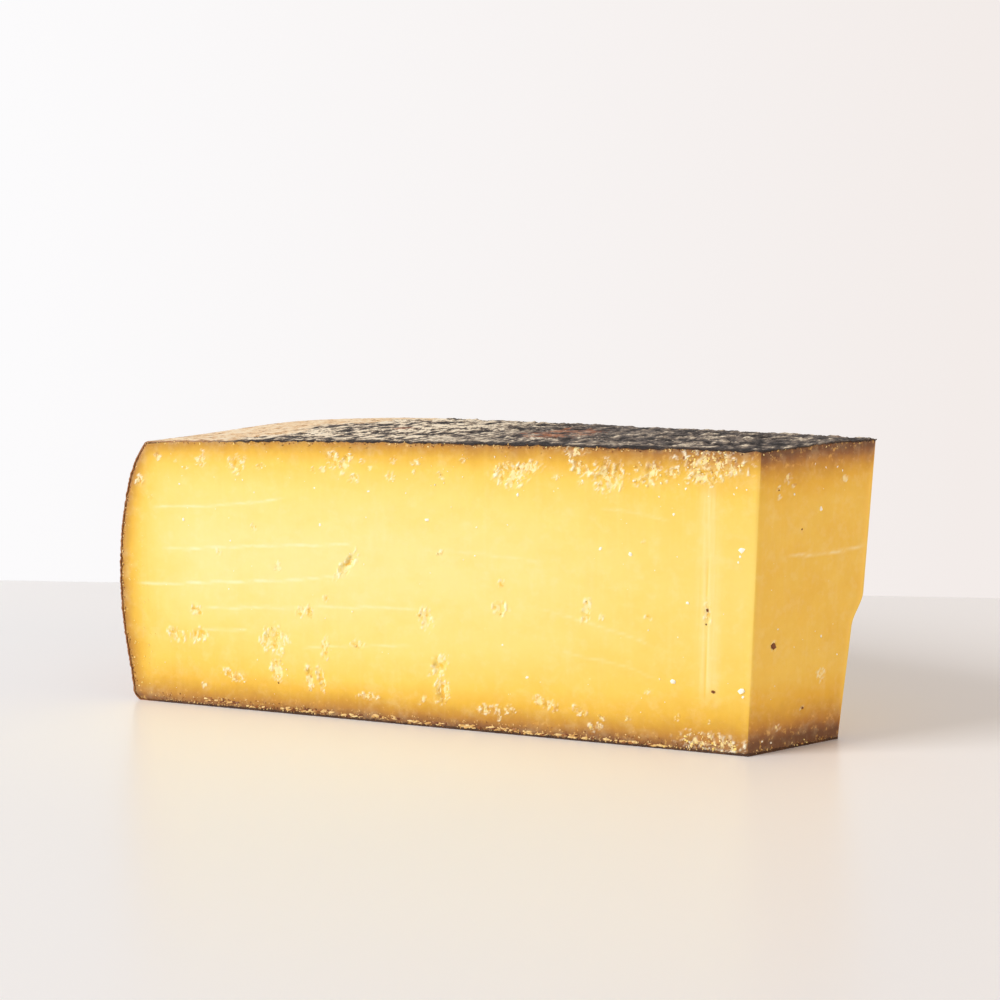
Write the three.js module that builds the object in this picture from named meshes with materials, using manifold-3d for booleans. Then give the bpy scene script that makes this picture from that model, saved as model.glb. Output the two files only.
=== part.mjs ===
// A truncated wedge cut from a large, flat wheel of aged mountain cheese.
//
// The wheel's axis is the Z axis while the wedge is being shaped. The front cut is the plane y = 0,
// with the heel, the wheel's bulging rind side, at -X. The nose cut takes the thin end off, short of
// the axis. The back cut is a second radial cut, WEDGE_ANGLE round from the first: it leans in towards
// the bottom and has a ledge where an upper and a lower stroke of the knife met. Last, the wedge is
// placed over its own footprint, so that the origin is the bottom centre of its bounding box.

import * as THREE from 'three';
import { mergeVertices } from 'three/addons/utils/BufferGeometryUtils.js';
import Module from 'manifold-3d';

// Driving dimensions, in millimetres and degrees.

// The whole wheel.
const WHEEL_HEIGHT = 100.3; // bottom to the level middle of the top
const RIM_RADIUS = 360; // where the top meets the heel
const HEEL_BULGE = 12; // how far the heel stands out beyond the rim
const BULGE_HEIGHT = 45; // height of the heel's widest part
const FOOT_INSET = 9.5; // how far the heel's foot stands in from the widest part
const FOOT_ROUND = 4.5; // radius between the heel's foot and the bottom
const TOP_DROP = 2.9; // how far the top has sunk at the rim
const FLAT_RADIUS = 130; // the top is level inside this radius

// The three cuts.
const WEDGE_ANGLE = 23.5; // from the front cut to the back cut
const NOSE_RADIUS = 134; // from the axis to the nose corner, along the front cut at the bottom
const NOSE_ANGLE = 55.7; // between the front cut and the nose cut, seen from above
const NOSE_LEAN = 1.5; // how far the nose cut leans out towards the top
const BACK_UPPER_LEAN = 3; // how far the back cut's upper stroke leans in towards the bottom
const BACK_LOWER_LEAN = 6.4; // how far its lower stroke leans in
const LEDGE_TOP = 50; // height where the upper stroke ends
const LEDGE_BOTTOM = 38; // height where the lower stroke begins
const LEDGE_DEPTH = 5; // how far the ledge steps in between them

// Fineness of the faceted solid.
const WHEEL_SEGMENTS = 360;
const TOP_STEPS = 10;
const HEEL_STEPS = 12;
const FOOT_STEPS = 5;

// How far a knife's solid runs past the wheel on every side.
const OVERCUT = 40;

const { degToRad, lerp } = THREE.MathUtils;
const wasm = await Module();
wasm.setup();

// Height of the top at a radius: level in the middle, then sinking with the cube of the distance.
function topHeight(radius) {
  const outward = Math.max(0, (radius - FLAT_RADIUS) / (RIM_RADIUS - FLAT_RADIUS));
  return WHEEL_HEIGHT - TOP_DROP * outward ** 3;
}

// A smooth quarter turn between two points of the heel. startPull and endPull say how far each end
// runs straight on, as a share of the height between the points.
function heelCurve(start, end, startPull, endPull, steps) {
  const rise = end.y - start.y;
  const curve = new THREE.CubicBezierCurve(
    start,
    new THREE.Vector2(start.x + startPull.x * Math.abs(rise), start.y + startPull.y * rise),
    new THREE.Vector2(end.x + endPull.x * Math.abs(rise), end.y - endPull.y * rise),
    end,
  );
  return curve.getPoints(steps);
}

// Half section of the wheel: from the axis at the bottom, round the heel, to the axis at the top.
function wheelProfile() {
  const widest = new THREE.Vector2(RIM_RADIUS + HEEL_BULGE, BULGE_HEIGHT);
  const foot = new THREE.Vector2(widest.x - FOOT_INSET, 0);
  const footTop = new THREE.Vector2(foot.x + FOOT_ROUND, FOOT_ROUND);
  const rim = new THREE.Vector2(RIM_RADIUS, topHeight(RIM_RADIUS));

  const rounding = new THREE.Path();
  rounding.absarc(foot.x, FOOT_ROUND, FOOT_ROUND, -Math.PI / 2, 0);
  const top = [];
  for (let step = 1; step <= TOP_STEPS; step += 1) {
    const radius = lerp(RIM_RADIUS, FLAT_RADIUS, step / TOP_STEPS);
    top.push(new THREE.Vector2(radius, topHeight(radius)));
  }
  return [
    new THREE.Vector2(0, 0),
    ...rounding.getPoints(FOOT_STEPS),
    ...heelCurve(footTop, widest, { x: 0.04, y: 0.35 }, { x: 0, y: 0.45 }, HEEL_STEPS).slice(1),
    ...heelCurve(widest, rim, { x: 0, y: 0.45 }, { x: 0.14, y: 0.22 }, HEEL_STEPS).slice(1),
    ...top,
    new THREE.Vector2(0, WHEEL_HEIGHT),
  ];
}

// A closed geometry as a solid: only positions are kept, shared vertices are merged, and triangles
// that have shrunk to a line, as at a lathe's poles, are dropped.
function toSolid(geometry) {
  const bare = geometry.clone();
  bare.deleteAttribute('normal');
  bare.deleteAttribute('uv');
  const merged = mergeVertices(bare, 1e-4);
  const corners = merged.index.array;
  const triangles = [];
  for (let i = 0; i < corners.length; i += 3) {
    const [a, b, c] = [corners[i], corners[i + 1], corners[i + 2]];
    if (a !== b && b !== c && c !== a) {
      triangles.push(a, b, c);
    }
  }
  const mesh = new wasm.Mesh({
    numProp: 3,
    vertProperties: new Float32Array(merged.attributes.position.array),
    triVerts: new Uint32Array(triangles),
  });
  return new wasm.Manifold(mesh);
}

function toGeometry(solid) {
  const mesh = solid.getMesh();
  const geometry = new THREE.BufferGeometry();
  geometry.setAttribute('position', new THREE.BufferAttribute(mesh.vertProperties, 3));
  geometry.setIndex(new THREE.BufferAttribute(mesh.triVerts, 1));
  geometry.computeVertexNormals();
  return geometry;
}

// The whole wheel, turned so that its axis stands along Z.
function makeWheel() {
  const geometry = new THREE.LatheGeometry(wheelProfile(), WHEEL_SEGMENTS);
  geometry.rotateX(Math.PI / 2);
  return toSolid(geometry);
}

// What one stroke of the knife takes away. The edge is a list of [offset, height] points from the
// lowest to the highest, in the vertical section across the stroke. Offsets count towards the left
// of the heading, and the knife clears everything on the right of the edge, along a line that runs
// past the wheel both ways from the start.
function knife(edge, start, heading) {
  const reach = 2 * (RIM_RADIUS + HEEL_BULGE + OVERCUT);
  const section = new THREE.Shape();
  section.moveTo(-reach, edge[0][1]);
  edge.forEach(([offset, height]) => section.lineTo(offset, height));
  section.lineTo(-reach, edge[edge.length - 1][1]);
  const geometry = new THREE.ExtrudeGeometry(section, { depth: 2 * reach, bevelEnabled: false });

  const along = new THREE.Vector3(Math.cos(heading), Math.sin(heading), 0);
  const left = new THREE.Vector3(-along.y, along.x, 0);
  const up = new THREE.Vector3(0, 0, 1);
  geometry.applyMatrix4(new THREE.Matrix4().makeBasis(left, up, along));
  geometry.translate(start.x - reach * along.x, start.y - reach * along.y, 0);
  return toSolid(geometry);
}

// The front cut is upright and runs from the heel to the axis.
function frontKnife() {
  const edge = [[0, -OVERCUT], [0, WHEEL_HEIGHT + OVERCUT]];
  return knife(edge, new THREE.Vector2(0, 0), 0);
}

// The nose cut starts at the nose corner and leans out towards the top.
function noseKnife() {
  const slope = Math.tan(degToRad(NOSE_LEAN));
  const high = WHEEL_HEIGHT + OVERCUT;
  const edge = [[slope * OVERCUT, -OVERCUT], [-slope * high, high]];
  return knife(edge, new THREE.Vector2(-NOSE_RADIUS, 0), degToRad(NOSE_ANGLE));
}

// The back cut meets the top along a radius, then leans in, steps in at the ledge and leans in again.
function backKnife() {
  const upper = Math.tan(degToRad(BACK_UPPER_LEAN));
  const lower = Math.tan(degToRad(BACK_LOWER_LEAN));
  const overLedge = upper * (WHEEL_HEIGHT - LEDGE_TOP);
  const underLedge = overLedge + LEDGE_DEPTH;
  const edge = [
    [underLedge + lower * (LEDGE_BOTTOM + OVERCUT), -OVERCUT],
    [underLedge, LEDGE_BOTTOM],
    [overLedge, LEDGE_TOP],
    [-upper * OVERCUT, WHEEL_HEIGHT + OVERCUT],
  ];
  return knife(edge, new THREE.Vector2(0, 0), Math.PI - degToRad(WEDGE_ANGLE));
}

// The wedge: the wheel less what the three knives take away, as one solid of rind and paste.
function makeWedge() {
  const solid = [frontKnife(), noseKnife(), backKnife()].reduce(
    (rest, blade) => rest.subtract(blade),
    makeWheel(),
  );
  const geometry = toGeometry(solid);
  const paste = new THREE.MeshStandardMaterial({ color: 0xf3d37c, roughness: 0.55, metalness: 0 });
  const wedge = new THREE.Mesh(geometry, paste);
  wedge.name = 'cheese_wedge';

  geometry.computeBoundingBox();
  const middle = geometry.boundingBox.getCenter(new THREE.Vector3());
  wedge.position.set(-middle.x, -middle.y, 0);
  return wedge;
}

const cheese = new THREE.Group();
cheese.add(makeWedge());

export default cheese;
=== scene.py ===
import math

import bpy
import numpy as np
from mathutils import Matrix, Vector


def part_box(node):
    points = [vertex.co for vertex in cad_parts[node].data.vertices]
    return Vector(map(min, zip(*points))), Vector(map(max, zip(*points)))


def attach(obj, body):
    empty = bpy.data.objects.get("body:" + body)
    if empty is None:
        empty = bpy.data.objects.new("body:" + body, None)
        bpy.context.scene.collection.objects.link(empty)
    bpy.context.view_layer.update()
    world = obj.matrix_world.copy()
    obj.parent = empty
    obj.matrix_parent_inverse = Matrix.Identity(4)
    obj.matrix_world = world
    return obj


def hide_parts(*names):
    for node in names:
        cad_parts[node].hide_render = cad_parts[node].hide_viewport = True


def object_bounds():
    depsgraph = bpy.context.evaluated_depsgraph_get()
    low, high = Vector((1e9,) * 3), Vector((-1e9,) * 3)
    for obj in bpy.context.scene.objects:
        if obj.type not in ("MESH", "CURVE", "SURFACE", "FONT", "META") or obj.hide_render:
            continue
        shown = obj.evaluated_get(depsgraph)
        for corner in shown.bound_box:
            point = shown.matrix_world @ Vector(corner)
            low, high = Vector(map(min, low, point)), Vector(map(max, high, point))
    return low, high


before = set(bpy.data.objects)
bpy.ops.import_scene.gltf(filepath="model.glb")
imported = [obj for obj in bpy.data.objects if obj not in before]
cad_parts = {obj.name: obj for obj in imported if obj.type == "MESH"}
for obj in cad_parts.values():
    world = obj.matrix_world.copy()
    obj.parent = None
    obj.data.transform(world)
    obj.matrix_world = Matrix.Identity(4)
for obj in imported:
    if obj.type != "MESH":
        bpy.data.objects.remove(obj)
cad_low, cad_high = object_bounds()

# A wedge of aged mountain cheese, cut from a large flat wheel. Its cut paste and its rind are
# surfaces worked out on grids. Lengths are in millimetres up to the moment a mesh is made.
#
# While it is shaped, the wheel's axis is the Z axis, the front cut is the plane y = 0, the heel is at
# -X and the bottom is at z = 0. "Along" is the distance along the front cut from the nose corner
# towards the heel, and "turn" is the angle round the axis from the front cut.

MM = 0.001

# The wheel, as the solid in the frame has it. The nose is cut back one millimetre.
RIM_RADIUS = 360.0
HEEL_BULGE = 12.0
BULGE_HEIGHT = 45.0
FOOT_INSET = 9.5
FOOT_ROUND = 4.5
TOP_DROP = 2.9
FLAT_RADIUS = 130.0
WHEEL_HEIGHT = (cad_high.z - cad_low.z) / MM
WIDEST_RADIUS = RIM_RADIUS + HEEL_BULGE

# Its three cuts. The back cut leans two ways, with a ledge between, and the way along it is counted
# from BACK_START, a distance from the axis.
WEDGE_ANGLE = math.radians(23.5)
NOSE_RADIUS = 133.0
NOSE_ANGLE = math.radians(56.5)
NOSE_SLOPE = math.tan(math.radians(1.5))
UPPER_SLOPE = math.tan(math.radians(3.0))
LOWER_SLOPE = math.tan(math.radians(6.4))
LEDGE_TOP = 50.0
LEDGE_BOTTOM = 38.0
LEDGE_DEPTH = 5.0
BACK_START = 112.0

# The sides of the paste in the order they run round it. The first three are the cuts.
FRONT, NOSE, BACK, HEEL = 0, 1, 2, 3

# Level directions: along the nose cut and the back cut, and in from the back cut.
NOSE_WAY = np.array([math.cos(NOSE_ANGLE), math.sin(NOSE_ANGLE)])
BACK_WAY = np.array([-math.cos(WEDGE_ANGLE), math.sin(WEDGE_ANGLE)])
BACK_INWARD = np.array([-math.sin(WEDGE_ANGLE), -math.cos(WEDGE_ANGLE)])

# Outward directions of the four sides. The leaning ones are near enough level for the small depths of
# tears and scores.
SIDE_NORMALS = np.array([
    (0, -1, 0),
    (math.sin(NOSE_ANGLE), -math.cos(NOSE_ANGLE), 0),
    (math.sin(WEDGE_ANGLE), math.cos(WEDGE_ANGLE), 0),
    (-math.cos(WEDGE_ANGLE / 2), math.sin(WEDGE_ANGLE / 2), 0)])

# The rind's thickness, and how far under the heel rind's surface the paste lies.
TOP_RIND = 0.5
HEEL_RIND = 0.45
BOTTOM_RIND = 0.8
UNDER_HEEL = 0.8 * HEEL_RIND

# Patterns on the rind are laid out along an arc of this radius.
ARC_RADIUS = 330.0

# The wheel's axis in the frame.
box_low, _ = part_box("cheese_wedge")
AXIS_X = box_low.x / MM + WIDEST_RADIUS
CAD_NOSE_RADIUS = 134.0
FRONT_Y = box_low.y / MM


# ---------------------------------------------------------------- number fields

def hashed(column, row, seed):
    """A number from 0 to 1 for each whole-numbered grid place, by mixing the bits of both places."""
    mixed = (column.astype(np.int64) * 374761393 + row.astype(np.int64) * 668265263
             + seed * 362437) & 0xFFFFFFFF
    mixed = ((mixed ^ (mixed >> 13)) * 1274126177) & 0xFFFFFFFF
    return ((mixed ^ (mixed >> 16)) & 0xFFFFFF) / float(0x1000000)


def ripple(x, y, seed):
    """Gradient noise from about -1 to 1: each grid corner has a slope in a hashed direction, and a
    point takes the four slopes' heights, blended by the fifth-degree fade of its place in the
    cell."""
    column, row = np.floor(x), np.floor(y)
    fx, fy = x - column, y - row
    blend_x = fx ** 3 * (fx * (fx * 6 - 15) + 10)
    blend_y = fy ** 3 * (fy * (fy * 6 - 15) + 10)

    def corner(step_x, step_y):
        """The height at the point of the slope that belongs to one corner of its cell."""
        angle = hashed(column + step_x, row + step_y, seed) * 2 * math.pi
        return np.cos(angle) * (fx - step_x) + np.sin(angle) * (fy - step_y)

    near = corner(0, 0) * (1 - blend_x) + corner(1, 0) * blend_x
    far = corner(0, 1) * (1 - blend_x) + corner(1, 1) * blend_x
    return 1.5 * (near * (1 - blend_y) + far * blend_y)


def rough(x, y, octaves, seed):
    """A sum of ripples, each half as high and twice as fine as the one before."""
    total = np.zeros(np.broadcast(x, y).shape)
    for octave in range(octaves):
        fine = 2.0 ** octave
        total += ripple(x * fine + 17.3 * octave, y * fine - 9.1 * octave, seed + octave) / fine
    return total


def creased(x, y, octaves, seed):
    """Sharp crests from 0 to 1: one less the size of each ripple, squared, summed as in rough()."""
    total = np.zeros(np.broadcast(x, y).shape)
    weight = 0.0
    for octave in range(octaves):
        fine = 2.0 ** octave
        crest_dust_and_shade = 1 - np.abs(ripple(x * fine - 5.7 * octave, y * fine + 3.9 * octave, seed + octave))
        total += np.clip(crest_dust_and_shade, 0, 1) ** 2 / fine
        weight += 1 / fine
    return total / weight


def crumbly(x, y, seed):
    """Cells: the distance from each point to the nearest and to the second nearest of one hashed
    point in every grid square. Returns the nearest, and the gap between the two."""
    column, row = np.floor(x), np.floor(y)
    nearest = np.full(np.broadcast(x, y).shape, 9.0)
    second = nearest.copy()
    for step_x in (-1, 0, 1):
        for step_y in (-1, 0, 1):
            px = column + step_x + hashed(column + step_x, row + step_y, seed)
            py = row + step_y + hashed(column + step_x, row + step_y, seed + 57)
            distance = np.hypot(px - x, py - y)
            second = np.minimum(second, np.maximum(distance, nearest))
            nearest = np.minimum(nearest, distance)
    return nearest, second - nearest


def ease(low, high, value):
    """0 below low, 1 above high, and a smooth S between them."""
    share = np.clip((value - low) / (high - low), 0, 1)
    return share * share * (3 - 2 * share)


# ---------------------------------------------------------------- the wheel's form

def top_height(radius):
    """Level inside FLAT_RADIUS, then sinking with the cube of the distance to the rim."""
    outward = np.clip((radius - FLAT_RADIUS) / (RIM_RADIUS - FLAT_RADIUS), 0, 1.1)
    return WHEEL_HEIGHT - TOP_DROP * outward ** 3


def bezier(points, count):
    """A cubic curve through its first and last points, pulled by the two between."""
    a, b, c, d = (np.array(p, float) for p in points)
    t = np.linspace(0, 1, count)[:, None]
    return a * (1 - t) ** 3 + 3 * b * t * (1 - t) ** 2 + 3 * c * t ** 2 * (1 - t) + d * t ** 3


# The outline is kept at points this far apart, and its rim is rounded over this many of them.
OUTLINE_STEP = 0.25
RIM_WINDOW = 19


def wheel_outline():
    """The wheel's half section as radius and height against the length walked from the rim: less
    than 0 on the top, then down the heel, round the foot and inwards under the bottom. The rim's
    corner is rounded by averaging the outline over a few millimetres of its length."""
    rim = (RIM_RADIUS, float(top_height(RIM_RADIUS)))
    foot = WIDEST_RADIUS - FOOT_INSET
    foot_top = (foot + FOOT_ROUND, FOOT_ROUND)
    rise = rim[1] - BULGE_HEIGHT
    fall = BULGE_HEIGHT - FOOT_ROUND
    radius = np.linspace(20, RIM_RADIUS, 341)
    top = np.stack([radius, top_height(radius)], 1)
    upper = bezier([rim, (rim[0] + 0.14 * rise, rim[1] - 0.22 * rise),
                    (WIDEST_RADIUS, BULGE_HEIGHT + 0.45 * rise), (WIDEST_RADIUS, BULGE_HEIGHT)], 80)
    lower = bezier([(WIDEST_RADIUS, BULGE_HEIGHT), (WIDEST_RADIUS, BULGE_HEIGHT - 0.45 * fall),
                    (foot_top[0] + 0.04 * fall, FOOT_ROUND + 0.35 * fall), foot_top], 60)
    turn = np.linspace(0, math.pi / 2, 16)
    rounding = np.stack([foot + FOOT_ROUND * np.cos(turn),
                         FOOT_ROUND - FOOT_ROUND * np.sin(turn)], 1)
    under = np.stack([np.linspace(foot, 20, 341), np.zeros(341)], 1)
    line = np.concatenate([top, upper[1:], lower[1:], rounding[1:], under[1:]])
    walked = np.concatenate([[0], np.cumsum(np.hypot(*np.diff(line, axis=0).T))])
    walked -= walked[len(top) - 1]
    even = np.arange(walked[0], walked[-1], OUTLINE_STEP)
    smooth = np.stack([np.interp(even, walked, line[:, 0]), np.interp(even, walked, line[:, 1])], 1)
    window = np.hanning(RIM_WINDOW)
    window /= window.sum()
    rounded = np.stack([np.convolve(smooth[:, k], window, "same") for k in (0, 1)], 1)
    inner = slice(12, -12)
    return even[inner], rounded[inner, 0], rounded[inner, 1]


WALK, WALK_RADIUS, WALK_HEIGHT = wheel_outline()
UPPER_OUTLINE = (WALK < 0) | ((WALK < 60) & (WALK_HEIGHT > BULGE_HEIGHT + 1))
HEEL_OUTLINE = (WALK > -3) & (WALK_HEIGHT > 0.05)


def on_outline(walk):
    """Radius, height and outward normal of the wheel's outline at a walked length."""
    radius = np.interp(walk, WALK, WALK_RADIUS)
    height = np.interp(walk, WALK, WALK_HEIGHT)
    step = 0.5
    run = np.interp(walk + step, WALK, WALK_RADIUS) - np.interp(walk - step, WALK, WALK_RADIUS)
    rise = np.interp(walk + step, WALK, WALK_HEIGHT) - np.interp(walk - step, WALK, WALK_HEIGHT)
    size = np.hypot(run, rise)
    return radius, height, -rise / size, run / size


def on_heel(height, values):
    """A value that is known along the outline, read off the heel at a height."""
    order = np.argsort(WALK_HEIGHT[HEEL_OUTLINE])
    return np.interp(height, WALK_HEIGHT[HEEL_OUTLINE][order], values[HEEL_OUTLINE][order])


def heel_radius(height):
    """Radius of the heel at a height."""
    return on_heel(height, WALK_RADIUS)


def back_offset(height):
    """How far the back cut stands in from its radius at a height: two leaning strokes and a ledge
    between them, eased from the one to the other."""
    over_ledge = UPPER_SLOPE * (WHEEL_HEIGHT - LEDGE_TOP)
    upper = UPPER_SLOPE * (WHEEL_HEIGHT - height)
    ledge = over_ledge + LEDGE_DEPTH * ease(LEDGE_TOP, LEDGE_BOTTOM, height)
    lower = over_ledge + LEDGE_DEPTH + LOWER_SLOPE * (LEDGE_BOTTOM - height)
    return np.where(height > LEDGE_TOP, upper, np.where(height > LEDGE_BOTTOM, ledge, lower))


def nose_corner(height):
    """The nose corner's x on the front cut at a height."""
    return -NOSE_RADIUS + NOSE_SLOPE * height / math.sin(NOSE_ANGLE)


def nose_reach(turn, height):
    """Radius at which the nose cut crosses the radial plane at a turn."""
    return -nose_corner(height) / (np.cos(turn) + np.sin(turn) / math.tan(NOSE_ANGLE))


def back_turn(radius, height):
    """The turn at which a circle of this radius, at this height, meets the back cut."""
    return WEDGE_ANGLE - np.arcsin(back_offset(height) / radius)


def rind_relief(walk, arc):
    """Height of the rind's surface in millimetres at a walked length and an arc along the wheel's
    edge. Creases a centimetre or two apart, bent by slow noise, are crossed by smaller wrinkles, and
    fine grain lies over both. The heel is rougher in the small and the bottom is pressed flat."""
    bent = 6 * ripple(walk / 30, arc / 30, 71) + 2 * ripple(walk / 9, arc / 9, 70)
    creases = creased((walk + bent) / 8, (arc + 0.6 * bent) / 14, 3, 72)
    wrinkles = creased((walk - bent) / 3.2, (arc + bent) / 5.2, 2, 75)
    grain = rough(walk / 1.5, arc / 1.5, 2, 78)
    top = ease(3, -10, walk)
    heel = ease(0, 10, walk) * ease(114, 104, walk)
    worn = ease(-0.5, 0.4, rough(walk / 45, arc / 45, 2, 81))
    folds = 1.15 * (creases - 0.62) + 0.55 * (wrinkles - 0.62)
    rim = 1 - 0.6 * ease(-45, -25, walk)
    heel_swell = 0.3 + 0.4 * ease(30, 12, walk) + 0.35 * ease(65, 90, walk)
    heel_form = 0.42 * folds + 0.16 * grain + heel_swell
    return top * rim * (0.5 + 0.5 * worn) * folds + 0.07 * grain + heel * heel_form


def rind_top(radius, turn):
    """Height of the top rind's surface, down over the rounded rim as far as the widest part."""
    height = np.interp(radius, WALK_RADIUS[UPPER_OUTLINE], WALK_HEIGHT[UPPER_OUTLINE])
    return height + rind_relief(np.minimum(radius - RIM_RADIUS, 0), turn * ARC_RADIUS)


def heel_skin(height, turn):
    """Radius of the heel rind's surface at a height and a turn."""
    return heel_radius(height) + rind_relief(on_heel(height, WALK), turn * ARC_RADIUS)


def swell(points):
    """Lifts points as the wheel had swollen: nothing at the front cut and at the bottom, about 1.5 mm
    at the top of the back cut, and nearly 3 mm at the top of the heel between the cuts."""
    radius = np.hypot(points[..., 0], points[..., 1])
    share = np.arctan2(points[..., 1], -points[..., 0]) / WEDGE_ANGLE
    behind = ease(0.0, 0.7, share)
    shoulder = np.exp(-((share - 0.62) / 0.36) ** 2) * ease(250, 345, radius)
    nose_side = np.exp(-((radius - 140) / 45) ** 2)
    lift = behind * (1.25 + 1.5 * shoulder + 0.5 * nose_side)
    lifted = points.copy()
    lifted[..., 2] += lift * np.clip(points[..., 2] / WHEEL_HEIGHT, 0, 1.1) ** 3
    return lifted


# ---------------------------------------------------------------- meshes

def make_piece(name, points, quads, triangles, fields, chart=None):
    """A mesh from points in millimetres and rows of corner numbers. If the closed surface holds a
    negative volume, every face is turned round, so that faces point outwards. fields are numbers
    kept on the points for the finish, and chart is a flat map of one pair per face corner."""
    points = swell(points)
    corners = np.concatenate([quads[:, [0, 1, 2]], quads[:, [0, 2, 3]], triangles])
    a, b, c = (points[corners[:, k]] for k in range(3))
    if np.einsum("ij,ij->i", a, np.cross(b, c)).sum() < 0:
        quads, triangles = quads[:, ::-1], triangles[:, ::-1]
        if chart is not None:
            chart = np.concatenate([chart[:quads.size].reshape(-1, 4, 2)[:, ::-1].reshape(-1, 2),
                                    chart[quads.size:].reshape(-1, 3, 2)[:, ::-1].reshape(-1, 2)])
    placed = (points + [AXIS_X, FRONT_Y, 0]) * MM
    mesh = bpy.data.meshes.new(name)
    mesh.vertices.add(len(placed))
    mesh.vertices.foreach_set("co", placed.astype(np.float32).ravel())
    loops = np.concatenate([quads.ravel(), triangles.ravel()])
    mesh.loops.add(len(loops))
    mesh.loops.foreach_set("vertex_index", loops.astype(np.int32))
    starts = np.concatenate([np.arange(len(quads)) * 4, quads.size + np.arange(len(triangles)) * 3])
    mesh.polygons.add(len(starts))
    mesh.polygons.foreach_set("loop_start", starts.astype(np.int32))
    for field, values in fields.items():
        kept = mesh.attributes.new(field, "FLOAT", "POINT")
        kept.data.foreach_set("value", values.astype(np.float32))
    if chart is not None:
        flat = mesh.uv_layers.new(name="OFBake")
        flat.data.foreach_set("uv", chart.astype(np.float32).ravel())
    mesh.update(calc_edges=True)
    mesh.validate()
    mesh.shade_smooth()
    piece = bpy.data.objects.new(name, mesh)
    bpy.context.scene.collection.objects.link(piece)
    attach(piece, "root")
    return piece


def grid_quads(rows, columns, first=0, wrap=False):
    """Corner numbers of the squares of a grid whose points are numbered row by row."""
    number = first + np.arange(rows * columns).reshape(rows, columns)
    if wrap:
        number = np.concatenate([number, number[:, :1]], 1)
    corners = (number[:-1, :-1], number[:-1, 1:], number[1:, 1:], number[1:, :-1])
    return np.stack(corners, -1).reshape(-1, 4)


# ---------------------------------------------------------------- the cut paste

# Torn spots on the front cut: along, height, half width, half height, tilt in degrees, depth.
FRONT_TEARS = [
    # the open middle of the heel half
    (145, 55.5, 6.2, 1.7, 52, 1.5), (173, 53.5, 1.4, 1.6, 0, 1.2), (206.5, 35.5, 2.4, 1.6, -40, 0.8),
    (163.5, 37.5, 1.6, 2.0, 0, 0.6), (160, 37.5, 1.3, 2.6, 0, 0.5), (114.5, 38.5, 2.3, 3.6, 10, 1.2),
    # the low ones near the heel
    (215.5, 26, 3.6, 2.2, -20, 1.1), (206, 26.5, 3.2, 2.4, 12, 0.9), (191.5, 12.5, 4.2, 1.7, -15, 0.8),
    (174.5, 26.5, 4.8, 4.2, 0, 1.1), (173.5, 15.5, 2.3, 3.6, 0, 1.1), (160.5, 14.5, 1.6, 3.2, 5, 1.0),
    (155.8, 14, 1.4, 3.8, 15, 1.2), (154, 25, 1.4, 4.2, 0, 0.6), (141, 27.5, 2.2, 1.4, 0, 0.8),
    (137, 9, 3.2, 1.2, 0, 0.7), (109.5, 22.5, 2.6, 3.2, 0, 1.3), (108.5, 13.5, 2.5, 4.6, 0, 1.5),
    # the middle and the nose half
    (87, 43.5, 2.5, 2.2, 0, 1.0), (86, 52, 1.5, 1.4, 0, 0.6), (56, 44.5, 1.5, 3.8, -8, 0.9),
    (14.2, 46.5, 1.0, 3.4, 0, 0.8), (91, 8, 3.6, 1.6, 0, 0.8), (85, 8.5, 2.4, 1.3, 10, 0.7),
    (70.5, 12, 3.6, 1.5, -15, 0.7), (58.5, 10.5, 2.8, 1.2, -20, 0.6),
    # the row under the top rind
    (230, 83, 1.6, 1.6, 0, 0.5), (203, 91, 1.0, 2.8, 0, 0.5), (189, 90, 2.6, 3.2, 0, 0.6),
    (150, 92.5, 1.9, 2.8, 0, 0.7), (145.5, 91.5, 1.6, 3.4, -25, 0.8), (142, 86.5, 1.8, 1.2, 0, 0.7),
    (83.5, 89.5, 5.4, 3.6, -10, 1.0), (76.5, 92.5, 3.6, 2.0, 0, 0.8), (58, 93, 3.6, 2.2, -30, 1.1),
    (48.5, 90, 5.2, 4.6, 0, 1.4), (33.5, 91.5, 2.4, 3.9, -35, 1.1), (27, 92, 2.6, 1.8, 30, 0.8),
    (60, 98.3, 3.4, 2.0, 0, 0.9), (12.5, 95.4, 10.0, 3.4, -4, 0.9), (16, 91.4, 4.4, 2.2, 0, 0.9),
    (12.5, 3.6, 9.5, 2.6, -4, 0.7),
]

# Torn spots on the nose cut, counted from the nose corner.
NOSE_TEARS = [(9, 35.7, 1.2, 1.5, 10, 1.3), (19.5, 73, 1.0, 0.8, 30, 0.5),
              (7.8, 87.5, 0.7, 0.8, 0, 0.5), (8.2, 84.5, 0.7, 0.8, 0, 0.4),
              (23.7, 13, 0.7, 0.8, 0, 0.7), (32, 23, 1.6, 2.2, 0, 0.3)]

# Seams between layers of curd: the two ends as along and height, how far the middle bows up, and how
# plainly it shows.
FRONT_LAYERS = [(226, 73.0, 168, 78.5, -0.8, 0.9), (222, 57.6, 138, 63.0, 0.4, 1.0),
                (236, 44.0, 138, 52.3, -0.8, 1.0), (210, 36.0, 110, 42.0, 0.5, 0.8),
                (206, 28.2, 184, 30.0, 0.0, 0.7), (165, 24.5, 118, 28.5, 0.6, 0.5),
                (78, 45.0, 30, 33.0, 1.5, 0.35), (66, 30.5, 28, 22.5, 1.0, 0.35),
                (52, 79.5, 26, 76.0, 0.6, 0.3), (118, 62.0, 70, 60.0, 1.0, 0.3)]
NOSE_LAYERS = [(12, 65.3, 52, 65.6, -0.8, 0.9)]
BACK_LAYERS = [(20, 62, 120, 66, 1.5, 0.8), (90, 30, 215, 24, -1, 0.8), (140, 75, 225, 72, 1, 0.7)]


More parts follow.
